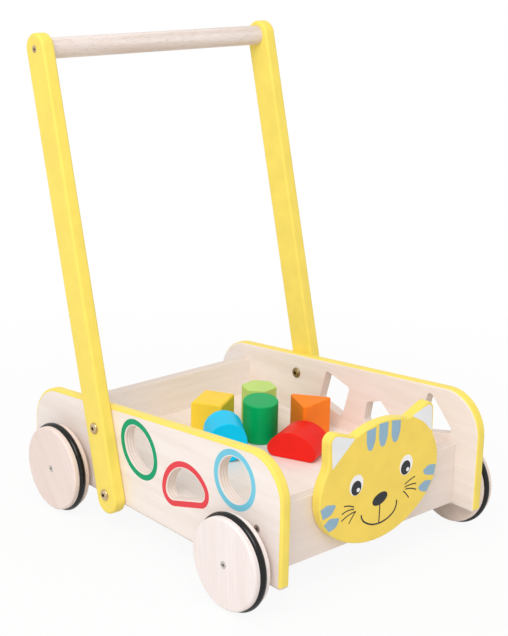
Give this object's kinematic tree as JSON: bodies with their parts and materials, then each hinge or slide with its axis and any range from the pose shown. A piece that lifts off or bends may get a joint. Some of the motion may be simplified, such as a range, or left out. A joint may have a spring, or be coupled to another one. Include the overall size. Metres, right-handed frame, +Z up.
{
  "type": "baby push walker",
  "caption": "Wooden push walker: a shallow block tray on wheels with rubber rings, a leaning push handle, shape-sorter holes in the sides and a cat's head on the front.",
  "frame": {"origin": "on the ground, below the middle of the walker's box", "axes": "+Z up, the cat's face looks along -Y, the handle is towards +Y, and -X is the right of the child who pushes it"},
  "size_m": [0.342, 0.421, 0.5225],
  "materials": {
    "birch_ply": "sanded birch plywood under clear matt lacquer",
    "wheel_wood": "turned pale wood under clear matt lacquer",
    "beech": "turned beech under clear satin lacquer",
    "yellow_paint": "satin yellow paint on wood",
    "face_paint": "satin yellow paint with a printed face, on wood",
    "rubber": "black moulded rubber",
    "brass": "brass-plated, satin",
    "steel": "zinc-plated steel",
    "yellow_block_paint": "satin yellow paint on wood",
    "green_block_paint": "satin green paint on wood",
    "light_green_block_paint": "satin light green paint on wood",
    "orange_block_paint": "satin orange paint on wood",
    "red_block_paint": "satin red paint on wood",
    "blue_block_paint": "satin light blue paint on wood"
  },
  "bodies": {
    "frame": {"right_side_panel": "birch_ply", "left_side_panel": "birch_ply", "front_wall": "birch_ply", "rear_wall": "birch_ply", "tray_floor": "birch_ply", "head_board": "face_paint", "head_board_screws": "steel", "wall_screws": "steel", "right_handle_arm": "yellow_paint", "left_handle_arm": "yellow_paint", "handle_bar": "beech", "handle_bar_screws": "steel", "arm_bolts": "brass", "arm_nuts": "brass"},
    "front_wheel_set": {"front_axle": "beech", "front_right_wheel": "wheel_wood", "front_left_wheel": "wheel_wood", "front_right_tyre": "rubber", "front_left_tyre": "rubber", "front_wheel_screws": "steel", "front_axle_washers": "beech"},
    "rear_wheel_set": {"rear_axle": "beech", "rear_right_wheel": "wheel_wood", "rear_left_wheel": "wheel_wood", "rear_right_tyre": "rubber", "rear_left_tyre": "rubber", "rear_wheel_screws": "steel", "rear_axle_washers": "beech"},
    "yellow_block": {"yellow_square_block": "yellow_block_paint"},
    "green_block": {"green_oval_block": "green_block_paint"},
    "light_green_block": {"light_green_hexagon_block": "light_green_block_paint"},
    "orange_block": {"orange_triangle_block": "orange_block_paint"},
    "red_block": {"red_half_round_block": "red_block_paint"},
    "blue_block": {"blue_round_block": "blue_block_paint"}
  },
  "joints": [
    {"name": "front_axle_turn", "type": "hinge", "parent": "frame", "child": "front_wheel_set", "pos_m": [0, -0.1575, 0.05], "axis": [1, 0, 0], "continuous": true},
    {"name": "rear_axle_turn", "type": "hinge", "parent": "frame", "child": "rear_wheel_set", "pos_m": [0, 0.1401, 0.05], "axis": [1, 0, 0], "continuous": true},
    {"name": "yellow_block_lift", "type": "slide", "parent": "frame", "child": "yellow_block", "axis": [0, 0, 1], "range_m": [0, 0.15]},
    {"name": "green_block_lift", "type": "slide", "parent": "frame", "child": "green_block", "axis": [0, 0, 1], "range_m": [0, 0.15]},
    {"name": "light_green_block_lift", "type": "slide", "parent": "frame", "child": "light_green_block", "axis": [0, 0, 1], "range_m": [0, 0.15]},
    {"name": "orange_block_lift", "type": "slide", "parent": "frame", "child": "orange_block", "axis": [0, 0, 1], "range_m": [0, 0.15]},
    {"name": "red_block_lift", "type": "slide", "parent": "frame", "child": "red_block", "axis": [0, 0, 1], "range_m": [0, 0.15]},
    {"name": "blue_block_lift", "type": "slide", "parent": "frame", "child": "blue_block", "axis": [0, 0, 1], "range_m": [0, 0.15]}
  ]
}
